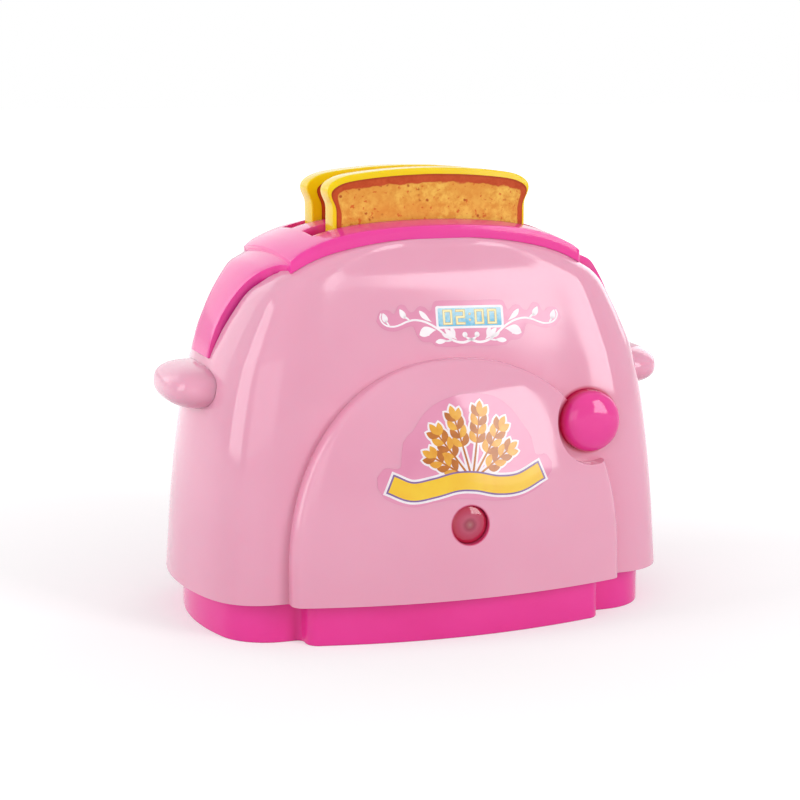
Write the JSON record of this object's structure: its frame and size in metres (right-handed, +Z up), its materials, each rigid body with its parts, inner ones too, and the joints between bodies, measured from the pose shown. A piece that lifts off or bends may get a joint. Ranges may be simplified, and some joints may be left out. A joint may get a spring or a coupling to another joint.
{
  "type": "toy toaster",
  "caption": "Toy toaster with a rounded shell, a top saddle with slots, lift-out toast slices, a push button, a small light window, side grips and a stepped base plinth.",
  "frame": {"origin": "centre of the footprint, on the surface that the base stands on", "axes": "+X to the right of a person facing the button side, -Y out of the front face with the button, +Z up"},
  "size_m": [0.105, 0.07, 0.09],
  "materials": {
    "pink_plastic": "glossy light pink moulding",
    "magenta_plastic": "glossy magenta moulding",
    "crimson_plastic": "satin deep crimson moulding",
    "yellow_plastic": "glossy yellow moulding with a printed crust and crumb label",
    "lens_plastic": "clear red moulding, polished",
    "bulb_resin": "clear cast resin",
    "plated_steel": "bright zinc or nickel plating",
    "circuit_board": "green solder mask",
    "black_plastic": "matt black",
    "white_plastic": "satin white",
    "red_plastic": "satin red"
  },
  "bodies": {
    "toaster": {"body_shell": "pink_plastic", "left_handle": "pink_plastic", "right_handle": "pink_plastic", "top_saddle": "magenta_plastic", "toast_well": "crimson_plastic", "base_tray": "magenta_plastic", "button_cell_1": "plated_steel", "button_cell_2": "plated_steel", "button_cell_3": "plated_steel", "contact_minus": "plated_steel", "contact_plus": "plated_steel", "button_spring": "plated_steel", "push_switch": "black_plastic", "switch_board": "circuit_board", "board_screw_left": "plated_steel", "board_screw_right": "plated_steel", "light_lens": "lens_plastic", "light_bulb": "bulb_resin", "light_holder": "white_plastic", "battery_wire_plus": "red_plastic", "battery_wire_minus": "black_plastic", "light_wire_plus": "red_plastic", "light_wire_minus": "black_plastic", "base_screw_1": "plated_steel", "base_screw_2": "plated_steel", "base_screw_3": "plated_steel", "base_screw_4": "plated_steel", "saddle_screw_left": "plated_steel", "saddle_screw_right": "plated_steel"},
    "button": {"button_cap": "magenta_plastic", "switch_plunger": "white_plastic"},
    "slice_front": {"slice_front": "yellow_plastic"},
    "slice_rear": {"slice_rear": "yellow_plastic"},
    "battery_door": {"battery_door": "magenta_plastic", "door_screw": "plated_steel"}
  },
  "joints": [
    {"name": "button_press", "type": "slide", "parent": "toaster", "child": "button", "axis": [0, 1, 0], "range_m": [0, 0.0015], "stiffness_N_per_m": 200, "deforming": ["button_spring"]},
    {"name": "slice_front_lift", "type": "slide", "parent": "toaster", "child": "slice_front", "axis": [0, 0, 1], "range_m": [0, 0.03]},
    {"name": "slice_rear_lift", "type": "slide", "parent": "toaster", "child": "slice_rear", "axis": [0, 0, 1], "range_m": [0, 0.03]},
    {"name": "battery_door_off", "type": "slide", "parent": "toaster", "child": "battery_door", "axis": [0, 0, -1], "range_m": [0, 0.02]}
  ]
}
